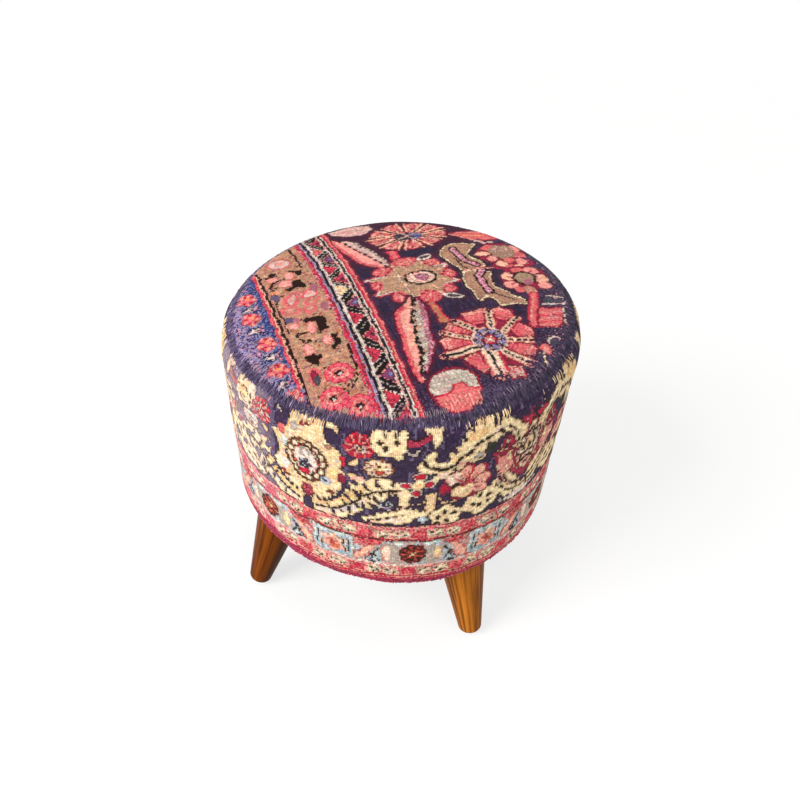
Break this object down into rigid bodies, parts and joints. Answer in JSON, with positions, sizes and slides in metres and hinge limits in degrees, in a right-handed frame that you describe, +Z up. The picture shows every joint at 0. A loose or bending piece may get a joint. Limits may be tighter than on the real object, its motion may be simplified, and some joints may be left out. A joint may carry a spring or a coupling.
{
  "type": "rug pouf",
  "caption": "Round drum footstool covered in knotted rug, with a crowned padded seat, an overcast rim seam and splayed tapered wooden legs.",
  "frame": {"origin": "on the floor, under the centre of the drum", "axes": "+Z up along the drum's axis; the legs stand at 45, 135, 225 and 315 degrees from +X; the picture looks from -Y and a little from +X"},
  "size_m": [0.4, 0.4, 0.392],
  "materials": {
    "seat_rug_wool": "knotted wool pile, navy field with coral and tan motifs",
    "side_rug_wool": "knotted wool pile, navy field with ivory and crimson motifs",
    "rim_yarn": "navy wool yarn, overcast",
    "selvedge_wool": "magenta wool wrapped over a cord",
    "wadding_felt": "needled felt",
    "seat_foam": "open-cell foam",
    "plywood": "sanded plywood",
    "hardboard": "bent hardboard",
    "softwood": "planed softwood",
    "leg_wood": "turned hardwood, honey-brown stain and satin lacquer",
    "zinc_steel": "zinc plated",
    "black_cloth": "non-woven dust cloth",
    "pad_felt": "brown felt"
  },
  "bodies": {
    "root": {"seat_rug": "seat_rug_wool", "side_rug": "side_rug_wool", "rim_stitching": "rim_yarn", "back_seam_lacing": "rim_yarn", "selvedge_cord": "selvedge_wool", "rug_tacks": "zinc_steel", "seat_wadding": "wadding_felt", "side_wadding": "wadding_felt", "foam_pad": "seat_foam", "seat_board": "plywood", "seat_board_screws": "zinc_steel", "drum_skin": "hardboard", "skin_nails": "zinc_steel", "base_board": "plywood", "base_board_screws": "zinc_steel", "dust_cover": "black_cloth", "dust_cover_staples": "zinc_steel", "plate_screws": "zinc_steel", "post_1": "softwood", "leg_1": "leg_wood", "leg_plate_1": "zinc_steel", "hanger_bolt_1": "zinc_steel", "felt_pad_1": "pad_felt", "post_2": "softwood", "leg_2": "leg_wood", "leg_plate_2": "zinc_steel", "hanger_bolt_2": "zinc_steel", "felt_pad_2": "pad_felt", "post_3": "softwood", "leg_3": "leg_wood", "leg_plate_3": "zinc_steel", "hanger_bolt_3": "zinc_steel", "felt_pad_3": "pad_felt", "post_4": "softwood", "leg_4": "leg_wood", "leg_plate_4": "zinc_steel", "hanger_bolt_4": "zinc_steel", "felt_pad_4": "pad_felt"}
  },
  "joints": []
}
